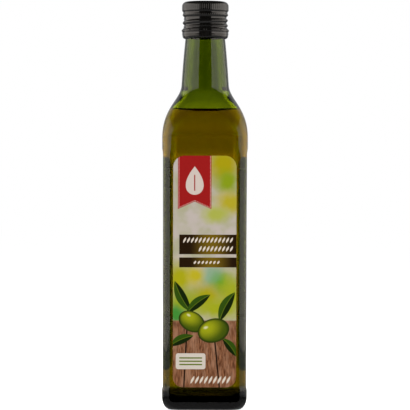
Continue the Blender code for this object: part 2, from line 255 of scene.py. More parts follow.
class Graph:
    """Short way to wire number, vector and colour nodes in a shader or geometry tree."""

    def __init__(self, tree):
        self.tree = tree

    def node(self, kind, inputs=(), **values):
        """New node with its properties set, and values or links in its first inputs."""
        node = self.tree.nodes.new(kind)
        for name, value in values.items():
            setattr(node, name, value)
        for socket, value in zip(node.inputs, inputs):
            self.put(socket, value)
        return node

    def put(self, socket, value):
        if isinstance(value, bpy.types.NodeSocket):
            self.tree.links.new(value, socket)
        else:
            socket.default_value = value

    def fill(self, node, **inputs):
        """Put values or links in a node's inputs by name, with _ for a space."""
        for name, value in inputs.items():
            self.put(node.inputs[name.replace("_", " ")], value)

    def math(self, operation, *values, clamp=False):
        return self.node("ShaderNodeMath", values, operation=operation, use_clamp=clamp).outputs[0]

    def times(self, *values):
        product = values[0]
        for value in values[1:]:
            product = self.math("MULTIPLY", product, value)
        return product

    def plus(self, first, second):
        return self.math("ADD", first, second)

    def minus(self, first, second):
        return self.math("SUBTRACT", first, second)

    def positive(self, value):
        return self.math("ABSOLUTE", value)

    def ramp(self, value, low, high, kind="SMOOTHSTEP"):
        """0 below low and 1 above high; low may be the larger one."""
        node = self.node("ShaderNodeMapRange", interpolation_type=kind)
        self.fill(node, Value=value, From_Min=low, From_Max=high)
        return node.outputs["Result"]

    def under(self, value, edge, soft):
        """1 where value is less than edge, with a soft step between."""
        return self.ramp(value, edge + soft, edge - soft)

    def mix(self, share, below, above):
        node = self.node("ShaderNodeMix", data_type="RGBA")
        self.fill(node, Factor=share)
        for name, value in (("A", below), ("B", above)):
            socket = [item for item in node.inputs if item.name == name and item.type == "RGBA"][0]
            self.put(socket, value)
        return [item for item in node.outputs if item.type == "RGBA"][0]

    def place(self, coords, centre, size=(1.0, 1.0), angle=0.0):
        """Coordinates centred on a shape, turned with it and counted in its half sizes."""
        node = self.node("ShaderNodeMapping", vector_type="TEXTURE")
        self.fill(
            node, Vector=coords, Location=(*centre, 0.0), Rotation=(0.0, 0.0, angle), Scale=(*size, 1.0))
        return node.outputs["Vector"]

    def vector(self, operation, *values):
        return self.node("ShaderNodeVectorMath", values, operation=operation).outputs

    def shake(self, coords, scale, reach):
        """Coordinates pushed about by slow noise, for edges that run out unevenly."""
        noise = self.node("ShaderNodeTexNoise")
        self.fill(noise, Vector=coords, Scale=scale)
        push = self.vector("MULTIPLY_ADD", noise.outputs["Color"], (reach, reach, 0.0), coords)[0]
        return self.vector("SUBTRACT", push, (0.5 * reach, 0.5 * reach, 0.0))[0]

    def split(self, vector):
        return self.node("ShaderNodeSeparateXYZ", [vector]).outputs

    def join(self, *values):
        return self.node("ShaderNodeCombineXYZ", values).outputs[0]

    def length(self, vector):
        return self.vector("LENGTH", vector)["Value"]

    def noise(self, coords, scale, detail=2.0, roughness=0.5):
        node = self.node("ShaderNodeTexNoise")
        self.fill(node, Vector=coords, Scale=scale, Detail=detail, Roughness=roughness)
        return node.outputs["Fac"]


def rgba(red, green, blue):
    """Linear colour from 8-bit picture values."""
    channels = []
    for value in (red, green, blue):
        share = value / 255.0
        channels.append(share / 12.92 if share <= 0.04045 else ((share + 0.055) / 1.055) ** 2.4)
    return (*channels, 1.0)


def new_material(name, inputs):
    material = bpy.data.materials.new(name)
    material.use_nodes = True
    shader = material.node_tree.nodes["Principled BSDF"]
    for socket, value in inputs.items():
        shader.inputs[socket].default_value = value
    return material, Graph(material.node_tree), shader


RUBBED_LACQUER = rgba(20, 19, 18)


def object_coords(graph):
    return graph.node("ShaderNodeTexCoord").outputs["Object"]


def add_bump(graph, shader, height, distance):
    bump = graph.node("ShaderNodeBump")
    graph.fill(bump, Strength=1.0, Distance=distance, Height=height)
    graph.fill(shader, Normal=bump.outputs["Normal"])


def add_absorption(graph, tint, density):
    absorb = graph.node("ShaderNodeVolumeAbsorption")
    graph.fill(absorb, Color=(*tint, 1.0), Density=density)
    graph.fill(graph.tree.nodes["Material Output"], Volume=absorb.outputs["Volume"])


def glass_material(settings):
    """Clear glass with faint waves in its skin; its colour comes from its thickness."""
    material, graph, shader = new_material("green_bottle_glass", {
        "Base Color": WHITE, "Roughness": 0.012, "IOR": 1.52, "Transmission Weight": 1.0})
    add_absorption(graph, settings.tint, settings.density)
    add_bump(graph, shader, graph.noise(object_coords(graph), 55.0, detail=1.0), 0.05 * MM)
    return material


def oil_material(settings):
    material, graph, _ = new_material("golden_olive_oil", {
        "Base Color": WHITE, "Roughness": 0.0, "IOR": 1.47, "Transmission Weight": 1.0})
    add_absorption(graph, settings.tint, settings.density)
    return material


def lacquer_material(settings):
    """Satin black lacquer with a fine orange-peel skin and faint rubbing."""
    material, graph, shader = new_material("black_cap_lacquer", {"IOR": 1.5, "Specular IOR Level": 0.85})
    coords = object_coords(graph)
    rubbing = graph.noise(coords, 260.0, detail=4.0)
    tone = graph.mix(graph.ramp(rubbing, 0.45, 0.8), (*settings.lacquer, 1.0), RUBBED_LACQUER)
    graph.fill(shader, Base_Color=tone, Roughness=graph.math("MULTIPLY_ADD", rubbing, 0.06, 0.08))
    add_bump(graph, shader, graph.noise(coords, 900.0, detail=1.0), 0.004 * MM)
    return material


def ease(t):
    t = min(max(t, 0.0), 1.0)
    return 0.5 - 0.5 * math.cos(math.pi * t)


def shares(steps):
    """Even steps from 0 to 1."""
    return [step / steps for step in range(steps + 1)]


def quarter(steps=ARC_STEPS):
    """Sine and cosine at even steps through a quarter turn."""
    return [(math.sin(math.pi / 2 * share), math.cos(math.pi / 2 * share)) for share in shares(steps)]


def beside(point, step):
    return point[0] + step[0], point[1] + step[1]


def bezier(start, start_handle, end_handle, end, steps):
    points = []
    corners = (start, start_handle, end_handle, end)
    for t in shares(steps)[1:]:
        weights = ((1 - t) ** 3, 3 * (1 - t) ** 2 * t, 3 * (1 - t) * t ** 2, t ** 3)
        points.append(tuple(sum(w * c[axis] for w, c in zip(weights, corners)) for axis in (0, 1)))
    return points


def face_angles():
    """Angles over one face, from just past one corner's middle to the next corner's middle."""
    angles = [FLAT_ANGLE * (2 * step / FLAT_STEPS - 1) for step in range(FLAT_STEPS + 1)]
    reach = math.pi / 4 - FLAT_ANGLE
    for step in range(1, CORNER_STEPS + 1):
        angle = FLAT_ANGLE + reach * step / CORNER_STEPS
        angles.append(angle)
        if step < CORNER_STEPS:
            angles.insert(0, -angle)
    return angles


def section_points(half, corner, height):
    """Rounded square, counter-clockwise from above, which becomes a circle as corner nears half."""
    points = []
    for face in range(4):
        turn = face * math.pi / 2
        for angle in face_angles():
            slide = max(-1.0, min(1.0, angle / FLAT_ANGLE))
            along = half - corner + corner * math.cos(angle)
            across = (half - corner) * slide + corner * math.sin(angle)
            points.append((
                along * math.cos(turn) - across * math.sin(turn),
                along * math.sin(turn) + across * math.cos(turn),
                height))
    return points


def mesh_from(work, name):
    mesh = bpy.data.meshes.new(name)
    work.to_mesh(mesh)
    work.free()
    return mesh


def loft(name, stations, first_pole, last_pole):
    """Closed skin through level sections, with a middle point at each end."""
    work = bmesh.new()
    rings = [[work.verts.new(point) for point in section_points(*station)] for station in stations]
    count = len(rings[0])
    start = work.verts.new((0.0, 0.0, first_pole))
    finish = work.verts.new((0.0, 0.0, last_pole))
    for i in range(count):
        j = (i + 1) % count
        work.faces.new((start, rings[0][j], rings[0][i]))
        for low, high in zip(rings, rings[1:]):
            work.faces.new((low[i], low[j], high[j], high[i]))
        work.faces.new((rings[-1][i], rings[-1][j], finish))
    mesh = mesh_from(work, name)
    mesh.shade_smooth()
    return mesh


def corner_at(half, height, body_corner):
    """Corner radius, which grows over the panel's upper step and again up the shoulder."""
    low, high = PANEL_STEP_TOP
    corner = body_corner + SHOULDER_CORNER_GROWTH * ease((height - low) / (high - low))
    squareness = corner / SHOULDER_HALF
    share = squareness + (1 - squareness) * ease((height - SHOULDER_START) / (ROUND_FROM - SHOULDER_START))
    return min(half, max(corner, half * share))


def panel_half(height):
    """Half width of the label panel, slightly waisted."""
    rise = (height - PANEL_WAIST) / (PANEL_STEP_TOP[0] - PANEL_WAIST)
    return PANEL_HALF + (PANEL_TOP_HALF - PANEL_HALF) * max(0.0, rise)


def base_stations(settings):
    bearing = HEEL_HALF - HEEL_RUN
    hollow = bearing - BEARING_WIDTH
    corner = settings.corner_radius
    stations = []
    for share in shares(ARC_STEPS)[1:-1]:
        half = hollow * share
        stations.append((half, half * (1.0 - 0.6 * share), settings.push_up * (1 - ease(share))))
    stations.append((hollow, corner, 0.0))
    for sine, cosine in quarter():
        stations.append((
            bearing + HEEL_RUN * sine, corner + HEEL_CORNER_GROWTH * cosine, HEEL_RISE * (1 - cosine)))
    return stations


def step_stations(span, low_half, high_half, corner):
    stations = []
    for share in shares(ARC_STEPS):
        height = span[0] + (span[1] - span[0]) * share
        half = low_half + (high_half - low_half) * ease(share)
        stations.append((half, corner_at(half, height, corner), height))
    return stations


def shoulder_curve(half, neck_radius, drop):
    start = (half, SHOULDER_START - drop)
    neck = (neck_radius, NECK_FOOT - drop)
    start_handle = (start[0], start[1] + SHOULDER_REACH)
    end_handle = (neck[0] + NECK_FOOT_SLOPE * NECK_FOOT_REACH, neck[1] - NECK_FOOT_REACH)
    return [start] + bezier(start, start_handle, end_handle, neck, SHOULDER_STEPS)


def neck_curve(foot_radius, foot_height, top_radius):
    foot_handle = (foot_radius - NECK_FOOT_SLOPE * NECK_LOWER_REACH, foot_height + NECK_LOWER_REACH)
    top_handle = (top_radius + FINISH_SLOPE * NECK_UPPER_REACH, NECK_TOP - NECK_UPPER_REACH)
    return bezier((foot_radius, foot_height), foot_handle, top_handle, (top_radius, NECK_TOP), NECK_STEPS)


def with_corners(curve, body_corner):
    return [(half, corner_at(half, height, body_corner), height) for half, height in curve]


def outside_stations(settings):
    corner = settings.corner_radius
    stations = base_stations(settings)
    stations += step_stations(PANEL_STEP_FOOT, HEEL_HALF, PANEL_HALF, corner)
    low, high = PANEL_STEP_FOOT[1], PANEL_STEP_TOP[0]
    for share in shares(ARC_STEPS)[1:-1]:
        height = low + (high - low) * share
        stations.append((panel_half(height), corner, height))
    stations += step_stations(PANEL_STEP_TOP, PANEL_TOP_HALF, SHOULDER_HALF, corner)
    low, high = PANEL_STEP_TOP[1], SHOULDER_START
    for share in shares(NECK_STEPS)[1:-1]:
        height = low + (high - low) * share
        stations.append((SHOULDER_HALF, corner_at(SHOULDER_HALF, height, corner), height))
    stations += with_corners(shoulder_curve(SHOULDER_HALF, NECK_FOOT_RADIUS, 0.0), corner)
    stations += with_corners(neck_curve(NECK_FOOT_RADIUS, NECK_FOOT, FINISH_RADIUS), corner)
    for sine, cosine in quarter():
        radius = FINISH_RADIUS - LIP_ROUNDING * (1 - cosine)
        stations.append((radius, radius, MOUTH - LIP_ROUNDING * (1 - sine)))
    return stations


def inside_stations(settings, inset=0.0):
    """Inner wall from the floor to the neck, moved inwards by inset."""
    half = PANEL_HALF - settings.body_wall
    drop = 0.5 * settings.body_wall
    curve = [((half - FLOOR_ROUNDING) * share, settings.floor) for share in shares(ARC_STEPS)[1:]]
    for sine, cosine in quarter()[1:]:
        curve.append((half - FLOOR_ROUNDING * (1 - sine), settings.floor + FLOOR_ROUNDING * (1 - cosine)))
    start = (SHOULDER_HALF - settings.shoulder_wall, SHOULDER_START - drop)
    root = (ROOT_RADIUS - settings.root_wall, ROOT_HEIGHT)
    neck = (NECK_FOOT_RADIUS - settings.neck_wall, NECK_FOOT)
    top = (BORE_RADIUS, NECK_TOP)
    curve.append(start)
    shoulder_handle = (start[0], start[1] + SHOULDER_REACH)
    curve += bezier(start, shoulder_handle, beside(root, BELOW_ROOT), root, SHOULDER_STEPS)
    curve += bezier(root, beside(root, ABOVE_ROOT), beside(neck, BELOW_NECK), neck, NECK_STEPS)
    curve += bezier(neck, beside(neck, ABOVE_NECK), beside(top, BELOW_TOP), top, NECK_STEPS)
    stations = []
    for station_half, corner, height in with_corners(curve, INNER_CORNER_RADIUS):
        edge = min(1.0, station_half / half)
        dome = FLOOR_RISE * (1 - edge) if height <= settings.floor else 0.0
        lift = inset if height < settings.floor + FLOOR_ROUNDING else 0.0
        stations.append((station_half - inset, corner - 0.5 * inset, height + lift + dome))
    return stations


def add_object(name, data):
    made = bpy.data.objects.new(name, data)
    bpy.context.scene.collection.objects.link(made)
    return made


def finish_piece(name, mesh, material, node):
    """Put a mesh in the scene as the piece that stands for a solid of the frame."""
    piece = add_object(name, mesh)
    mesh.materials.clear()
    mesh.materials.append(material)
    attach(piece, BODY)
    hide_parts(node)
    return piece


class BOTTLE_OT_add_glass(bpy.types.Operator):
    """Add the green glass bottle"""

    bl_idname = "bottle.add_glass"
    bl_label = "Add Glass"

    def execute(self, context):
        settings = context.scene.bottle_glass
        bore = []
        for flare, drop in ((1.0, 0.0), (0.3, 0.3), (0.0, 1.0)):
            radius = BORE_RADIUS + flare * LIP_ROUNDING
            bore.append((radius, radius, MOUTH - drop * LIP_ROUNDING))
        stations = outside_stations(settings) + bore + inside_stations(settings)[::-1]
        mesh = loft("glass", stations, settings.push_up, settings.floor + FLOOR_RISE)
        finish_piece("glass_bottle", mesh, glass_material(settings), "bottle")
        return {"FINISHED"}


# Curve of the oil's skin, from the wall inwards
MENISCUS_STEPS = 2 * ARC_STEPS
MENISCUS_REACH = 6.0 * MM
MENISCUS_FALLOFF = 1.4 * MM


class BOTTLE_OT_add_oil(bpy.types.Operator):
    """Add the oil, with its surface drawn up along the wall"""

    bl_idname = "bottle.add_oil"
    bl_label = "Add Oil"

    def execute(self, context):
        settings = context.scene.bottle_oil
        walls = inside_stations(context.scene.bottle_glass, -settings.reach)
        level = OIL_LEVEL - settings.sink
        crest = level + settings.meniscus
        stations = [station for station in walls if station[2] < crest]
        low = stations[-1]
        high = walls[len(stations)]
        share = (crest - low[2]) / (high[2] - low[2])
        edge = tuple(a + (b - a) * share for a, b in zip(low, high))
        stations.append(edge)
        for share in shares(MENISCUS_STEPS)[1:-1]:
            distance = MENISCUS_REACH * share ** 2
            height = level + settings.meniscus * math.exp(-distance / MENISCUS_FALLOFF)
            stations.append((edge[0] - distance, edge[1] - distance, height))
        mesh = loft("oil", stations, context.scene.bottle_glass.floor + FLOOR_RISE - settings.reach, level)
        finish_piece("olive_oil", mesh, oil_material(settings), "oil")
        return {"FINISHED"}


# Cap, with its relief from the top of the grip band down: height over the foot and radius
CAP_EDGE = 3.2 * MM
CAP_RADIUS = 15.75 * MM
CAP_BORE = FINISH_RADIUS + 0.35 * MM
CAP_RELIEF = [(height * MM, radius * MM) for height, radius in (
    (21.9, 15.75), (18.9, 15.75), (18.1, 15.1), (17.4, 15.0), (16.0, 15.4), (14.4, 14.35),
    (8.1, 14.35), (6.9, 15.0), (5.85, 15.95), (5.3, 16.0), (4.0, 15.55), (3.4, 15.7),
    (1.7, 15.45), (0.9, 15.2), (0.2, 14.5), (0.0, 14.2))]
CAP_ROW = 0.3 * MM
CAP_FACETS_PER_RIB = 12
GRIP_SPAN = (19.1 * MM, 23.6 * MM)
NOTCH_HEIGHT = 16.1 * MM
SLIT_HEIGHT = 5.65 * MM
THREAD_START = 16.1 * MM
THREAD_SPAN = (7.4 * MM, 13.9 * MM)
CAP_CEILING = MOUTH + 0.3 * MM
TOP_STEPS = 10
SLIT_DEPTH = 0.7 * MM
# Values of the waves round the cap between which a groove or a bridge begins and ends
GROOVE_WALLS = (-0.55, -0.95)
BRIDGE_WALLS = (0.93, 0.88)


def cap_profile():
    """Radius and height from the middle of the top, down the outside and up the bore."""
    flat = CAP_RADIUS - CAP_EDGE
    points = [(flat * share, CAP_TOP) for share in shares(TOP_STEPS)[1:-1]]
    for sine, cosine in quarter(TOP_STEPS)[:-1]:
        points.append((flat + CAP_EDGE * sine, CAP_TOP - CAP_EDGE * (1 - cosine)))
    for (high, wide), (low, narrow) in zip(CAP_RELIEF, CAP_RELIEF[1:]):
        for share in shares(max(1, round((high - low) / CAP_ROW)))[:-1]:
            points.append((wide + (narrow - wide) * ease(share), CAP_FOOT + high + (low - high) * share))
    points += [(CAP_RELIEF[-1][1], CAP_FOOT), (CAP_BORE, CAP_FOOT)]
    return points + [(CAP_BORE, CAP_CEILING), (CAP_BORE * 0.5, CAP_CEILING)]


def cap_blank(facets):
    """The cap before its ribs, thread and tear line are rolled in."""
    work = bmesh.new()
    rings = []
    for radius, height in cap_profile():
        ring = []
        for facet in range(facets):
            angle = 2 * math.pi * facet / facets
            ring.append(work.verts.new((radius * math.cos(angle), radius * math.sin(angle), height)))
        rings.append(ring)
    top = work.verts.new((0.0, 0.0, CAP_TOP))
    bottom = work.verts.new((0.0, 0.0, CAP_CEILING))
    for i in range(facets):
        j = (i + 1) % facets
        work.faces.new((top, rings[0][i], rings[0][j]))
        for high, low in zip(rings, rings[1:]):
            work.faces.new((high[i], low[i], low[j], high[j]))
        work.faces.new((rings[-1][j], rings[-1][i], bottom))
    mesh = mesh_from(work, "cap_blank")
    mesh.shade_smooth()
    return mesh


def window(graph, value, low, high, edge):
    """1 between low and high with soft edges."""
    rise = graph.ramp(value, low, low + edge)
    fall = graph.ramp(value, high, high - edge)
    return graph.times(rise, fall)


def rolling_tree(material):
    """Geometry nodes that press ribs, notches, thread and tear line into a turned blank."""
    tree = bpy.data.node_groups.new("roll_cap", "GeometryNodeTree")
    face = tree.interface
    face.new_socket("Geometry", in_out="INPUT", socket_type="NodeSocketGeometry")
    for name in ("Foot Height", "Grip Ribs", "Rib Depth", "Thread Pitch", "Thread Height", "Bridges"):
        face.new_socket(name, in_out="INPUT", socket_type="NodeSocketFloat")
    face.new_socket("Geometry", in_out="OUTPUT", socket_type="NodeSocketGeometry")
    graph = Graph(tree)
    given = graph.node("NodeGroupInput").outputs
    position = graph.node("GeometryNodeInputPosition").outputs[0]
    x, y, z = graph.split(position)
    height = graph.minus(z, given["Foot Height"])
    angle = graph.math("ARCTAN2", y, x)
    turn = graph.math("DIVIDE", angle, 2 * math.pi)
    radius = graph.length(graph.join(x, y))
    outside = graph.math("GREATER_THAN", radius, CAP_BORE + 0.1 * MM)

    rib_wave = graph.math("COSINE", graph.times(angle, given["Grip Ribs"]))
    groove = graph.ramp(rib_wave, *GROOVE_WALLS)
    grip = window(graph, height, *GRIP_SPAN, 0.7 * MM)
    ribs = graph.times(groove, grip, given["Rib Depth"])
    notch_zone = window(graph, height, NOTCH_HEIGHT - 0.8 * MM, NOTCH_HEIGHT + 0.5 * MM, 0.4 * MM)
    notches = graph.times(groove, notch_zone, given["Rib Depth"])

    climb = graph.math("DIVIDE", graph.minus(height, THREAD_START), given["Thread Pitch"])
    phase = graph.times(graph.minus(climb, turn), 2 * math.pi)
    crest = graph.math("MULTIPLY_ADD", graph.math("COSINE", phase), 0.5, 0.5)
    thread_zone = window(graph, height, *THREAD_SPAN, 1.0 * MM)
    thread = graph.times(crest, thread_zone, given["Thread Height"])

    bridge_wave = graph.math("COSINE", graph.times(angle, given["Bridges"]))
    open_arc = graph.ramp(bridge_wave, *BRIDGE_WALLS)
    slit_zone = window(graph, height, SLIT_HEIGHT - 0.3 * MM, SLIT_HEIGHT + 0.3 * MM, 0.2 * MM)
    slit = graph.times(open_arc, slit_zone, SLIT_DEPTH)

    inward = graph.plus(graph.plus(ribs, notches), slit)
    push = graph.times(graph.minus(thread, inward), outside)
    share = graph.math("DIVIDE", push, graph.math("MAXIMUM", radius, 0.1 * MM))
    move = graph.node("GeometryNodeSetPosition")
    offset = graph.join(graph.times(x, share), graph.times(y, share))
    graph.fill(move, Geometry=given["Geometry"], Offset=offset)
    real = graph.node("GeometryNodeRealizeInstances", [move.outputs["Geometry"]])
    paint = graph.node("GeometryNodeSetMaterial")
    graph.fill(paint, Geometry=real.outputs["Geometry"], Material=material)
    graph.node("NodeGroupOutput", [paint.outputs["Geometry"]])
    return tree


def run_tree(name, mesh, tree, values):
    """Plain mesh that a geometry tree makes of a mesh."""
    carrier = add_object(name, mesh)
    modifier = carrier.modifiers.new("nodes", "NODES")
    modifier.node_group = tree
    sockets = {item.name: item.identifier for item in tree.interface.items_tree if item.in_out == "INPUT"}
    for socket_name, value in values.items():
        modifier[sockets[socket_name]] = float(value)
    bpy.context.view_layer.update()
    graph = bpy.context.evaluated_depsgraph_get()
    result = bpy.data.meshes.new_from_object(carrier.evaluated_get(graph))
    bpy.data.objects.remove(carrier, do_unlink=True)
    return result


class BOTTLE_OT_add_cap(bpy.types.Operator):
    """Add the roll-on cap with its grip ribs, rolled thread and tamper band"""

    bl_idname = "bottle.add_cap"
    bl_label = "Add Cap"

    def execute(self, context):
        settings = context.scene.bottle_cap
        material = lacquer_material(settings)
        tree = rolling_tree(material)
        mesh = run_tree("cap_blank", cap_blank(settings.rib_count * CAP_FACETS_PER_RIB), tree, {
            "Foot Height": CAP_FOOT,
            "Grip Ribs": settings.rib_count,
            "Rib Depth": settings.rib_depth,
            "Thread Pitch": settings.thread_pitch,
            "Thread Height": settings.thread_height,
            "Bridges": settings.bridge_count,
        })
        finish_piece("screw_cap", mesh, material, "cap")
        return {"FINISHED"}


LABEL_ROWS = 60
LABEL_COLUMNS = 60
LABEL_GLUE = 0.03 * MM


def label_mesh(name, right, foot, top, side, body_corner, settings):
    """Paper sheet with rounded corners that hugs the panel; side is -1 in front and 1 behind."""
    low, high = settings.foot_corner, settings.top_corner
    rows = [(right - low * (1 - sine), foot + low * (1 - cosine)) for sine, cosine in quarter()]
    span = top - high - foot - low
    rows += [(right, foot + low + span * share) for share in shares(LABEL_ROWS)[1:-1]]
    rows += [(right - high * (1 - cosine), top - high * (1 - sine)) for sine, cosine in quarter()]
    work = bmesh.new()
    grid = []
    for half, height in rows:
        line = []
        for share in shares(LABEL_COLUMNS):
            x = half * (2 * share - 1)
            bend = max(0.0, abs(x) - panel_half(height) + body_corner)
            sag = body_corner - math.sqrt(body_corner ** 2 - bend ** 2)
            line.append(work.verts.new((-side * x, side * (panel_half(height) + LABEL_GLUE - sag), height)))
        grid.append(line)
    for low_line, high_line in zip(grid, grid[1:]):
        for column in range(LABEL_COLUMNS):
            work.faces.new((*low_line[column:column + 2], high_line[column + 1], high_line[column]))
    return mesh_from(work, name)


def thicken(piece, thickness):
    solidify = piece.modifiers.new("paper", "SOLIDIFY")
    solidify.thickness = thickness
    solidify.offset = 1.0


BOX_SOFT = 0.03


def print_coords(graph):
    """Label coordinates in millimetres: right and up."""
    x, _, z = graph.split(object_coords(graph))
    return graph.join(graph.times(x, 1 / MM), graph.times(z, 1 / MM))


def ellipse(graph, coords, centre, size, soft):
    return graph.under(graph.length(graph.place(coords, centre, size)), 1.0, soft)


def box(graph, coords, centre, size):
    x, y, _ = graph.split(graph.place(coords, centre))
    sides = [graph.under(graph.positive(value), half, BOX_SOFT) for value, half in zip((x, y), size)]
    return graph.times(*sides)


def leaf(graph, coords, centre, size, angle):
    """Pointed leaf: its outline, its midrib and its lit side."""
    x, y, _ = graph.split(graph.place(coords, centre, size, math.radians(angle)))
    bend = graph.math("MULTIPLY_ADD", graph.times(x, x), 0.35, -0.18)
    off = graph.positive(graph.plus(y, bend))
    edge = graph.math("MULTIPLY_ADD", x, graph.times(x, -1.0), 1.0)
    outline = graph.ramp(graph.minus(edge, off), 0.0, 0.08)
    midrib = graph.ramp(off, 0.10, 0.03)
    side = graph.ramp(graph.plus(y, bend), -0.15, 0.25)
    return outline, graph.times(midrib, outline), side


# Print of the front label: centres and half sizes in millimetres, angles in degrees
GLOWS = (
    ((12.5, 165.0), (12.0, 13.0), (158, 146, 4)),
    ((15.0, 153.0), (7.0, 7.0), (126, 146, 16)),
    ((17.0, 139.0), (9.0, 7.0), (168, 156, 34)),
    ((7.5, 131.0), (8.0, 5.0), (160, 166, 72)),
    ((-17.0, 88.0), (9.0, 11.0), (158, 156, 12)),
    ((-6.0, 90.0), (6.0, 6.0), (176, 164, 30)),
    ((5.0, 89.0), (6.0, 7.5), (128, 158, 128)),
    ((12.0, 84.0), (6.5, 7.5), (84, 146, 40)),
    ((18.0, 79.0), (7.0, 12.0), (150, 158, 30)),
    ((1.0, 76.0), (10.0, 8.0), (158, 150, 14)),
    ((-13.0, 72.0), (12.0, 8.0), (140, 154, 24)),
    ((9.0, 68.0), (14.0, 7.0), (150, 158, 24)),
    ((-19.0, 64.0), (6.0, 6.0), (60, 132, 48)),
)
BARE_PAPER = rgba(179, 170, 164)
DRIFT = rgba(162, 160, 134)
WOOD_DARK = rgba(74, 40, 20)
WOOD_LIGHT = rgba(146, 98, 68)
WOOD_WORN = rgba(164, 124, 98)
WOOD_GAP = rgba(26, 14, 6)
PLAQUE_PALE = rgba(196, 188, 178)
PLAQUE_GREEN = rgba(92, 108, 26)
LEAF_DARK = rgba(16, 34, 0)
LEAF_LIGHT = rgba(44, 74, 4)
LEAF_RIB = rgba(84, 106, 16)
OLIVE_LIGHT = rgba(146, 152, 12)
OLIVE_DARK = rgba(62, 80, 0)
OLIVE_EDGE = rgba(34, 50, 0)
OLIVE_SHINE = rgba(214, 212, 170)
GARLAND_PALE = rgba(206, 196, 182)
BAR_BROWN = rgba(34, 18, 0)
BAR_GOLD = rgba(106, 84, 10)
RIBBON_RED = rgba(146, 20, 20)
RIBBON_STITCH = rgba(206, 168, 160)
DROP_PALE = rgba(196, 184, 176)
BACK_BROWN = rgba(70, 48, 12)
BACK_RULE = rgba(120, 104, 70)
BACK_GREEN = rgba(110, 120, 40)

LEAVES = (
    ((-15.0, 76.0), (12.0, 3.6), 118.0),
    ((14.5, 69.5), (11.5, 3.8), 62.0),
    ((-4.5, 71.5), (10.5, 3.4), 38.0),
    ((-15.5, 47.0), (9.0, 3.2), 24.0),
    ((17.0, 42.5), (8.0, 3.0), -52.0),
)
OLIVES = (
    ((-8.5, 59.5), (9.2, 6.6), -28.0),
    ((6.0, 53.5), (10.6, 7.9), 16.0),
)
PLANK_TOP = 60.2
PLANK_GAPS = ((-13.5, -0.05), (9.5, 0.10))
PLAQUE = ((-9.2, 33.0), (9.9, 5.3))
PLAQUE_CORNER = 1.6
PLAQUE_LINES = (2.2, 0.0, -2.2)
PLAQUE_LINE_SIZE = (7.6, 0.45)
# Rows of little leaves: height, first and last leaf, distance between leaves and half height
PLANK_GARLAND = (20.6, -8.0, 16.0, 3.0, 2.7)
GARLANDS = (
    (113.8, -13.4, 17.8, 2.6, 2.0),
    (108.0, -3.0, 17.8, 2.6, 2.0),
    (98.9, -6.5, 9.1, 2.6, 1.2),
)
GARLAND_LEAN = 0.45
GARLAND_LEAF = 0.3
BAR_LEFT = -17.0
BAR_SHEEN = (4.5, 15.0)
BARS = ((110.9, 6.55), (98.9, 3.3))
RIBBON_MIDDLE = -6.8
RIBBON_HALF = 11.2
RIBBON_FOOT = 139.5
RIBBON_NOTCH = -0.45
DROP_FOOT = 144.0
DROP_HEIGHT = 19.0
DROP_SWELL = 15.6


def paint_glows(graph, coords, tone):
    """Blurred greenery: soft spots that run out unevenly over the paper."""
    drift = graph.noise(coords, 0.09)
    wander = graph.shake(coords, 0.16, 5.0)
    tone = graph.mix(graph.ramp(drift, 0.35, 0.7), tone, DRIFT)
    for centre, size, colour in GLOWS:
        tone = graph.mix(ellipse(graph, wander, centre, size, 0.7), tone, rgba(*colour))
    return tone


def paint_planks(graph, coords, tone):
    """Worn planks with upright grain and dark gaps that lean."""
    x, y, _ = graph.split(coords)
    middle = (0.0, 0.0)
    grain = graph.noise(graph.place(coords, middle, (1.0, 9.0)), 1.6, detail=6.0, roughness=0.65)
    patches = graph.noise(graph.place(coords, middle, (1.0, 3.0)), 0.22)
    wood = graph.mix(graph.ramp(grain, 0.35, 0.68), WOOD_DARK, WOOD_LIGHT)
    wood = graph.mix(graph.times(graph.ramp(patches, 0.4, 0.7), 0.6), wood, WOOD_WORN)
    for foot, lean in PLANK_GAPS:
        gap_x = graph.math("MULTIPLY_ADD", y, -lean, foot + 20 * lean)
        gap = graph.ramp(graph.positive(graph.minus(x, gap_x)), 0.62, 0.35)
        wood = graph.mix(gap, wood, WOOD_GAP)
    return graph.mix(graph.under(y, PLANK_TOP, 0.6), tone, wood)


def paint_plaque(graph, coords, tone):
    """Pale plate with rounded corners and three green lines."""
    centre, half = PLAQUE
    x, y, _ = graph.split(graph.place(coords, centre))
    past = []
    for value, reach in zip((x, y), half):
        past.append(graph.math("MAXIMUM", graph.minus(graph.positive(value), reach - PLAQUE_CORNER), 0.0))
    tone = graph.mix(graph.under(graph.length(graph.join(*past)), PLAQUE_CORNER, 0.06), tone, PLAQUE_PALE)
    for line in PLAQUE_LINES:
        stripe = box(graph, coords, (centre[0], centre[1] + line), PLAQUE_LINE_SIZE)
        tone = graph.mix(stripe, tone, PLAQUE_GREEN)
    return tone


def paint_sprig(graph, coords, tone):
    """Leaves with a dark and a light half, and two olives over them."""
    for centre, size, angle in LEAVES:
        outline, midrib, side = leaf(graph, coords, centre, size, angle)
        green = graph.mix(midrib, graph.mix(side, LEAF_DARK, LEAF_LIGHT), LEAF_RIB)
        tone = graph.mix(outline, tone, green)
    for centre, size, angle in OLIVES:
        place = graph.place(coords, centre, size, math.radians(angle))
        away = graph.length(place)
        lit = graph.length(graph.place(place, (-0.35, 0.35), (1.1, 1.1)))
        flesh = graph.mix(graph.ramp(lit, 0.1, 1.1), OLIVE_LIGHT, OLIVE_DARK)
        flesh = graph.mix(graph.ramp(away, 0.75, 1.0), flesh, OLIVE_EDGE)
        shine = graph.length(graph.place(place, (-0.42, 0.42), (0.2, 0.16)))
        flesh = graph.mix(graph.times(graph.ramp(shine, 1.0, 0.3), 0.7), flesh, OLIVE_SHINE)
        tone = graph.mix(graph.ramp(away, 1.03, 0.99), tone, flesh)
    return tone


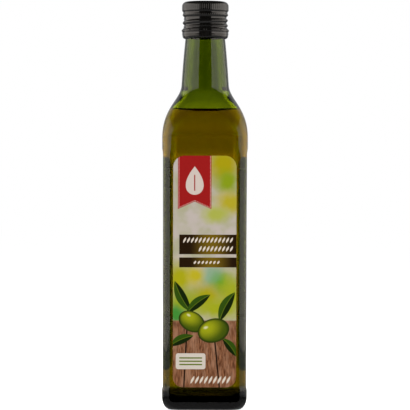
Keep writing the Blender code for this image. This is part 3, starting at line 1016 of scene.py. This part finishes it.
def paint_garland(graph, coords, tone, garland):
    """Row of small pale leaves that lean to the right."""
    height, start, end, pitch, half = garland
    x, y, _ = graph.split(coords)
    rise = graph.minus(y, height)
    along = graph.minus(graph.minus(x, start), graph.times(rise, GARLAND_LEAN))
    aside = graph.math("PINGPONG", along, pitch / 2)
    share = graph.math("DIVIDE", rise, half)
    width = graph.times(graph.minus(1.0, graph.times(share, share)), GARLAND_LEAF * pitch)
    leaves = graph.ramp(graph.minus(width, aside), 0.0, 0.12)
    first = graph.ramp(x, start - 0.5 * pitch, start - 0.4 * pitch)
    last = graph.ramp(x, end + 0.5 * pitch, end + 0.4 * pitch)
    return graph.mix(graph.times(leaves, first, last), tone, GARLAND_PALE)


def paint_bars(graph, coords, tone):
    """Two dark bars with a golden sheen, which carry garlands of small leaves."""
    middle, reach = BAR_SHEEN
    sheen = graph.ramp(graph.positive(graph.minus(graph.split(coords)[0], middle)), reach, 0.0)
    brown = graph.mix(sheen, BAR_BROWN, BAR_GOLD)
    right = FRONT_HIGH[0] / MM
    for height, half in BARS:
        size = (0.5 * (right - BAR_LEFT), half)
        tone = graph.mix(box(graph, coords, (0.5 * (BAR_LEFT + right), height), size), tone, brown)
    for garland in GARLANDS:
        tone = paint_garland(graph, coords, tone, garland)
    return tone


def paint_ribbon(graph, coords, tone):
    """Red ribbon with a notched foot and pale stitches, and a pale drop on it."""
    x, y, _ = graph.split(coords)
    aside = graph.positive(graph.minus(x, RIBBON_MIDDLE))
    above = graph.minus(y, graph.math("MULTIPLY_ADD", aside, RIBBON_NOTCH, RIBBON_FOOT))
    inset = graph.math("MINIMUM", graph.minus(RIBBON_HALF, aside), above)
    tone = graph.mix(graph.ramp(inset, -0.05, 0.05), tone, RIBBON_RED)
    dashes = graph.ramp(graph.math("PINGPONG", graph.plus(x, y), 0.45), 0.15, 0.25)
    stitch = graph.times(graph.ramp(inset, 0.45, 0.55), graph.ramp(inset, 0.95, 0.85), dashes)
    tone = graph.mix(stitch, tone, RIBBON_STITCH)
    climb = graph.math("DIVIDE", graph.minus(y, DROP_FOOT), DROP_HEIGHT, clamp=True)
    width = graph.times(graph.math("SQRT", climb), graph.minus(1.0, climb), DROP_SWELL)
    tone = graph.mix(graph.ramp(graph.minus(width, aside), 0.0, 0.1), tone, DROP_PALE)
    vein = graph.times(
        graph.ramp(aside, 0.45, 0.3), graph.ramp(climb, 0.12, 0.16), graph.ramp(climb, 0.72, 0.68))
    return graph.mix(vein, tone, RIBBON_RED)


def finish_paper(graph, shader, tone):
    """Printed colour on a coated sheet with fine fibres."""
    fibre = graph.noise(object_coords(graph), 2600.0, detail=3.0)
    graph.fill(shader, Base_Color=tone, Roughness=graph.math("MULTIPLY_ADD", fibre, 0.12, 0.5))
    add_bump(graph, shader, fibre, 0.008 * MM)


def front_print_material(settings):
    """Coated paper printed with blurred greenery, bars, a ribbon and an olive sprig on planks."""
    material, graph, shader = new_material("front_label_print", {"Specular IOR Level": 0.08})
    coords = print_coords(graph)
    tone = paint_glows(graph, coords, BARE_PAPER)
    tone = paint_planks(graph, coords, tone)
    tone = paint_plaque(graph, coords, tone)
    tone = paint_garland(graph, coords, tone, PLANK_GARLAND)
    for paint in (paint_sprig, paint_bars, paint_ribbon):
        tone = paint(graph, coords, tone)
    finish_paper(graph, shader, tone)
    return material


def back_print_material(settings):
    """Coated paper with a brown field, rules for small print and a green line."""
    material, graph, shader = new_material("back_label_print", {"Specular IOR Level": 0.08})
    coords = print_coords(graph)
    fields = [((0.0, 155.0), (30.0, 6.5), BACK_BROWN)]
    fields += [((0.0, 138.0 - 6.0 * row), (17.0, 0.3), BACK_RULE) for row in range(9)]
    fields += [((0.0, 62.0), (30.0, 1.2), BACK_GREEN)]
    tone = (*settings.paper, 1.0)
    for centre, size, colour in fields:
        tone = graph.mix(box(graph, coords, centre, size), tone, colour)
    finish_paper(graph, shader, tone)
    return material


class BOTTLE_OT_add_labels(bpy.types.Operator):
    """Add the front and back paper labels"""

    bl_idname = "bottle.add_labels"
    bl_label = "Add Labels"

    def execute(self, context):
        settings = context.scene.bottle_labels
        body_corner = context.scene.bottle_glass.corner_radius
        labels = (
            ("front_label_paper", "front_label", FRONT_LOW, FRONT_HIGH, -1, front_print_material),
            ("back_label_paper", "back_label", BACK_LOW, BACK_HIGH, 1, back_print_material),
        )
        for name, node, low, high, side, make in labels:
            mesh = label_mesh(name, high[0], low[2], high[2], side, body_corner, settings)
            piece = finish_piece(name, mesh, make(settings), node)
            thicken(piece, settings.thickness)
        return {"FINISHED"}


def hide_from(thing, *rays):
    """Leave a thing of the stage out of what these kinds of rays see."""
    for ray in rays:
        setattr(thing, "visible_" + ray, False)


def add_light(name, location, aim, size, level, colour=WHITE[:3]):
    """Area light; level is its brightness with the backdrop as 1."""
    light = bpy.data.lights.new(name, "AREA")
    light.shape = "RECTANGLE"
    light.size, light.size_y = size
    light.energy = level * math.pi * size[0] * size[1]
    light.color = colour
    lamp = add_object(name, light)
    lamp.location = location
    lamp.rotation_euler = aim
    hide_from(lamp, "camera")
    return lamp


def add_camera(settings):
    camera = bpy.data.cameras.new("camera")
    camera.sensor_width = 36.0
    camera.lens = camera.sensor_width * settings.camera_distance / settings.frame_width
    camera.clip_start = 0.05
    camera.clip_end = 50.0
    stand = add_object("camera", camera)
    stand.location = (settings.camera_aside, -settings.camera_distance, settings.camera_height)
    stand.rotation_euler = (math.pi / 2, -settings.camera_roll, 0.0)
    bpy.context.scene.camera = stand


# Slopes of the line of sight (its height over its length) where the backdrop changes
CEILING = (0.5, 0.8)
CEILING_SHADE = 0.97
MIRRORED_FOOT = (-0.2, -0.08)
MIRRORED_TOP = (0.65, 0.4)
MIRRORED_LEVEL = 0.45
MIRRORED_LEAST = 0.02
MIRRORED_TABLE = (-0.1, -0.5)
MIRRORED_TABLE_LEVEL = 0.2
# Distances from the bottle over which the table top behind the glass runs into the backdrop
FLOOR_FADE = (0.45, 2.2)
FLOOR_FAR_LEVEL = 0.8
FLOOR_REACH = 12.0
CORNERS = ((-1, -1), (1, -1), (1, 1), (-1, 1))
# Black card in front of the bottle: half width, place and heights
FLAG_HALF, FLAG_Y, FLAG_LOW, FLAG_HIGH = 0.55, -0.9, -0.6, 1.6
# Softboxes at both sides: distance from the axis, ends, height, and gap to the table
SOFTBOX_X, SOFTBOX_NEAR, SOFTBOX_FAR, SOFTBOX_HEIGHT, SOFTBOX_LIFT = 0.6, -0.92, 0.5, 0.75, 0.01
TOP_LIGHT_PLACE = (0.0, 0.3, 1.6)
TOP_LIGHT_SIZE = (3.0, 3.0)


def diagonal_share(graph, x, y):
    """0 in front, behind and at the sides of the bottle, 1 between those directions."""
    azimuth = graph.math("ARCTAN2", x, y)
    return graph.ramp(graph.math("COSINE", graph.times(azimuth, 4.0)), 0.92, 0.0)


def add_world(settings):
    """White backdrop under a dark ceiling, brighter between the bottle's sides than behind them."""
    world = bpy.data.worlds.new("studio")
    world.use_nodes = True
    bpy.context.scene.world = world
    graph = Graph(world.node_tree)
    ray = graph.node("ShaderNodeLightPath").outputs
    seen_through = ray["Is Transmission Ray"]
    x, y, z = graph.split(graph.node("ShaderNodeTexCoord").outputs["Generated"])
    diagonal = diagonal_share(graph, x, y)
    around = graph.math("MULTIPLY_ADD", diagonal, settings.side_gain, 1.0)
    warmth = graph.mix(graph.times(diagonal, seen_through), WHITE, (*settings.side_colour, 1.0))
    open_sky = graph.minus(1.0, graph.times(graph.ramp(z, *CEILING), CEILING_SHADE))
    through = graph.times(around, open_sky, seen_through)
    band = graph.times(graph.ramp(z, *MIRRORED_FOOT), graph.ramp(z, *MIRRORED_TOP))
    table = graph.times(graph.ramp(z, *MIRRORED_TABLE), MIRRORED_TABLE_LEVEL)
    mirrored = graph.plus(graph.math("MULTIPLY_ADD", band, MIRRORED_LEVEL, MIRRORED_LEAST), table)
    mirrored = graph.times(mirrored, ray["Is Glossy Ray"])
    level = graph.times(ray["Is Diffuse Ray"], settings.fill_level)
    for other in (mirrored, through, ray["Is Camera Ray"]):
        level = graph.math("MAXIMUM", level, other)
    graph.fill(world.node_tree.nodes["Background"], Strength=level, Color=warmth)


def add_plate(name, corners, material):
    mesh = bpy.data.meshes.new(name)
    mesh.from_pydata(corners, [], [(0, 1, 2, 3)])
    mesh.materials.append(material)
    plate = add_object(name, mesh)
    return plate


def add_floor(settings):
    """Pale table top, lit from below as well as from above, so that it runs into the backdrop."""
    material, graph, shader = new_material("pale_floor", {
        "Base Color": (0.8, 0.8, 0.8, 1.0), "Roughness": 1.0, "Specular IOR Level": 0.0})
    coords = object_coords(graph)
    x, y, _ = graph.split(coords)
    diagonal = diagonal_share(graph, x, y)
    behind = graph.math(
        "MULTIPLY_ADD", diagonal, settings.floor_gain * settings.floor_behind, settings.floor_behind)
    far = graph.ramp(graph.length(coords), *FLOOR_FADE, kind="LINEAR")
    beyond = graph.math("MULTIPLY_ADD", diagonal, settings.side_gain, FLOOR_FAR_LEVEL)
    behind = graph.plus(behind, graph.times(far, graph.minus(beyond, behind)))
    seen_through = graph.node("ShaderNodeLightPath").outputs["Is Transmission Ray"]
    change = graph.times(seen_through, graph.minus(behind, settings.floor_glow))
    tone = graph.mix(graph.times(diagonal, seen_through), WHITE, (*settings.side_colour, 1.0))
    graph.fill(shader, Emission_Strength=graph.plus(change, settings.floor_glow), Emission_Color=tone)
    floor = add_plate(
        "floor", [(across * FLOOR_REACH, along * FLOOR_REACH, 0.0) for across, along in CORNERS], material)
    hide_from(floor, "glossy")


def add_flag():
    """Black card on the camera's side that only mirror reflections show."""
    material, _, _ = new_material("black_flag", {
        "Base Color": (0.0, 0.0, 0.0, 1.0), "Specular IOR Level": 0.0})
    heights = {-1: FLAG_LOW, 1: FLAG_HIGH}
    flag = add_plate("flag", [(side * FLAG_HALF, FLAG_Y, heights[end]) for side, end in CORNERS], material)
    hide_from(flag, "camera", "diffuse", "transmission", "shadow")


class BOTTLE_OT_add_stage(bpy.types.Operator):
    """Add the floor, the light and the camera"""

    bl_idname = "bottle.add_stage"
    bl_label = "Add Stage"

    def execute(self, context):
        settings = context.scene.bottle_studio
        add_floor(settings)
        add_flag()
        add_world(settings)
        middle = (0.5 * (SOFTBOX_NEAR + SOFTBOX_FAR), 0.5 * SOFTBOX_HEIGHT + SOFTBOX_LIFT)
        size = (SOFTBOX_FAR - SOFTBOX_NEAR, SOFTBOX_HEIGHT)
        for name, sign in (("softbox_left", -1), ("softbox_right", 1)):
            aim = (math.pi / 2, 0.0, -sign * math.pi / 2 + math.pi)
            place = (sign * SOFTBOX_X, *middle)
            add_light(name, place, aim, size, settings.softbox_level, settings.softbox_colour)
        top = add_light("top_light", TOP_LIGHT_PLACE, (0.0, 0.0, 0.0), TOP_LIGHT_SIZE, settings.top_level)
        hide_from(top, "glossy", "transmission")
        add_camera(settings)
        context.scene.view_settings.view_transform = "Standard"
        return {"FINISHED"}


OPERATORS = (
    BOTTLE_OT_add_stage,
    BOTTLE_OT_add_glass,
    BOTTLE_OT_add_oil,
    BOTTLE_OT_add_cap,
    BOTTLE_OT_add_labels,
)


class BOTTLE_PT_pieces(bpy.types.Panel):
    """Lists the operators that build the bottle"""

    bl_idname = "BOTTLE_PT_pieces"
    bl_label = "Olive Oil Bottle"
    bl_space_type = "VIEW_3D"
    bl_region_type = "UI"
    bl_category = "Bottle"

    def draw(self, context):
        for operator in OPERATORS:
            self.layout.operator(operator.bl_idname)


SETTINGS = {
    "bottle_glass": GlassSettings,
    "bottle_oil": OilSettings,
    "bottle_cap": CapSettings,
    "bottle_labels": LabelSettings,
    "bottle_studio": StudioSettings,
}


def register():
    for group in SETTINGS.values():
        bpy.utils.register_class(group)
    for name, group in SETTINGS.items():
        setattr(bpy.types.Scene, name, bpy.props.PointerProperty(type=group))
    for operator in OPERATORS:
        bpy.utils.register_class(operator)
    bpy.utils.register_class(BOTTLE_PT_pieces)


def unregister():
    bpy.utils.unregister_class(BOTTLE_PT_pieces)
    for operator in reversed(OPERATORS):
        bpy.utils.unregister_class(operator)
    for name, group in SETTINGS.items():
        delattr(bpy.types.Scene, name)
        bpy.utils.unregister_class(group)


def main():
    register()
    bpy.ops.bottle.add_stage()
    bpy.ops.bottle.add_glass()
    bpy.ops.bottle.add_oil()
    bpy.ops.bottle.add_cap()
    bpy.ops.bottle.add_labels()
    bpy.context.view_layer.update()


if __name__ == "__main__":
    main()
